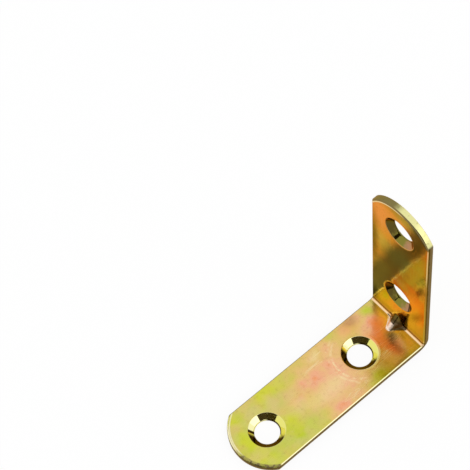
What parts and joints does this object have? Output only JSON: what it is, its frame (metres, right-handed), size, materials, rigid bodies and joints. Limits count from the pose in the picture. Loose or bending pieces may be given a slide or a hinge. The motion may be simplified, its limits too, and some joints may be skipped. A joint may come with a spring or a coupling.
{
  "type": "corner brace bracket",
  "caption": "Corner brace folded at a right angle from one steel strip, with round ends, countersunk screw holes in both legs and a stiffening rib pressed into the fold.",
  "frame": {"origin": "outer corner, where the planes of the two mounting faces meet, at mid width", "axes": "+X along the base leg away from the fold, +Z along the upright leg away from the fold, +Y across the strip"},
  "size_m": [0.05, 0.017, 0.05],
  "materials": {
    "steel": "yellow passivated zinc plating on cold rolled steel, glossy, with the uneven green, gold, pink and brown interference tints of the coating"
  },
  "bodies": {
    "root": {"corner_brace": "steel"}
  },
  "joints": []
}
